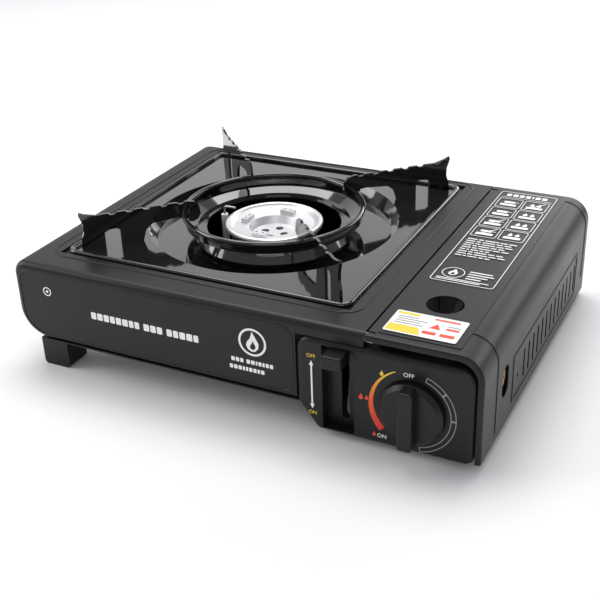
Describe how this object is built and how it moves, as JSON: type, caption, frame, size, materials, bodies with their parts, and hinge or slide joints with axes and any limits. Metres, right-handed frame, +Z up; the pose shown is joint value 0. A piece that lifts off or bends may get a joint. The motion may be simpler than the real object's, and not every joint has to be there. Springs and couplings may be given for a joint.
{
  "type": "camping stove",
  "caption": "Portable cassette camping stove with a burner under a lift-off pan support, a hinged cartridge lid, a gas knob and a cartridge lock lever.",
  "frame": {"origin": "on the ground under the middle of the whole stove", "axes": "+X to the right across the front, +Y from the controls to the back, +Z up"},
  "size_m": [0.342, 0.276, 0.107],
  "materials": {
    "powder_coat": "satin",
    "enamel": "gloss",
    "black_plastic": "matte",
    "cast_aluminium": "bright",
    "zinc_steel": "satin",
    "zinc_cast": "cast",
    "brass": "turned",
    "seal_rubber": "matte",
    "ceramic": "glazed",
    "lead_sleeve": "satin"
  },
  "bodies": {
    "stove_body": {"main_casing": "powder_coat", "base_pan": "powder_coat", "bay_rear_plate": "zinc_steel", "bay_partition": "zinc_steel", "hinge_bracket_front": "zinc_steel", "hinge_pin_front": "zinc_steel", "hinge_bracket_rear": "zinc_steel", "hinge_pin_rear": "zinc_steel", "left_foot_front": "black_plastic", "left_foot_rear": "black_plastic", "right_feet": "seal_rubber", "burner_cup": "cast_aluminium", "burner_head": "cast_aluminium", "mixing_tube": "zinc_steel", "air_shutter": "zinc_steel", "jet_holder": "zinc_steel", "gas_jet": "brass", "burner_bracket": "zinc_steel", "control_bezel": "black_plastic", "piezo_igniter": "black_plastic", "piezo_bracket": "zinc_steel", "regulator_body": "zinc_cast", "diaphragm_cover": "zinc_steel", "packing_nut": "brass", "cartridge_seal": "seal_rubber", "cartridge_guide": "zinc_steel", "gas_inlet": "brass", "regulator_bracket": "zinc_steel", "gas_pipe": "cast_aluminium", "lever_pivot_pin": "zinc_steel", "carrier_rail": "zinc_steel", "electrode_ceramic": "ceramic", "spark_electrode": "zinc_steel", "electrode_clamp": "zinc_steel", "igniter_lead": "lead_sleeve", "heat_plate": "zinc_steel", "base_screws": "zinc_steel"},
    "lid": {"cartridge_lid": "powder_coat"},
    "knob": {"control_knob": "black_plastic", "valve_spindle": "brass", "igniter_cam": "black_plastic"},
    "plunger": {"piezo_plunger": "black_plastic"},
    "lever": {"lock_lever": "zinc_steel", "lever_tab": "black_plastic", "crank_pin": "zinc_steel"},
    "carrier": {"cartridge_carrier": "zinc_steel"},
    "pan_support": {"drip_tray": "enamel", "support_ring": "enamel", "pan_support_1": "enamel", "pan_support_2": "enamel", "pan_support_3": "enamel", "pan_support_4": "enamel"}
  },
  "joints": [
    {"name": "lid_hinge", "type": "hinge", "parent": "stove_body", "child": "lid", "pos_m": [0.0976, 0, 0.078], "axis": [0, -1, 0], "range_deg": [0, 100]},
    {"name": "knob_turn", "type": "hinge", "parent": "stove_body", "child": "knob", "pos_m": [0.127, -0.124, 0.0339], "axis": [0, -1, 0], "range_deg": [0, 140]},
    {"name": "igniter_push", "type": "slide", "parent": "stove_body", "child": "plunger", "axis": [1, 0, 0], "range_m": [0, 0.0041]},
    {"name": "lever_swing", "type": "hinge", "parent": "stove_body", "child": "lever", "pos_m": [0.08, -0.068, 0.0425], "axis": [1, 0, 0], "range_deg": [0, 34]},
    {"name": "carrier_slide", "type": "slide", "parent": "stove_body", "child": "carrier", "axis": [0, -1, 0], "range_m": [0, 0.0095]},
    {"name": "tray_lift", "type": "slide", "parent": "stove_body", "child": "pan_support", "axis": [0, 0, 1], "range_m": [0, 0.08]}
  ],
  "couplings": [
    {"joint": "igniter_push", "follows": "knob_turn", "m_per_rad": 0.001637},
    {"joint": "carrier_slide", "follows": "lever_swing", "m_per_rad": 0.01577}
  ]
}
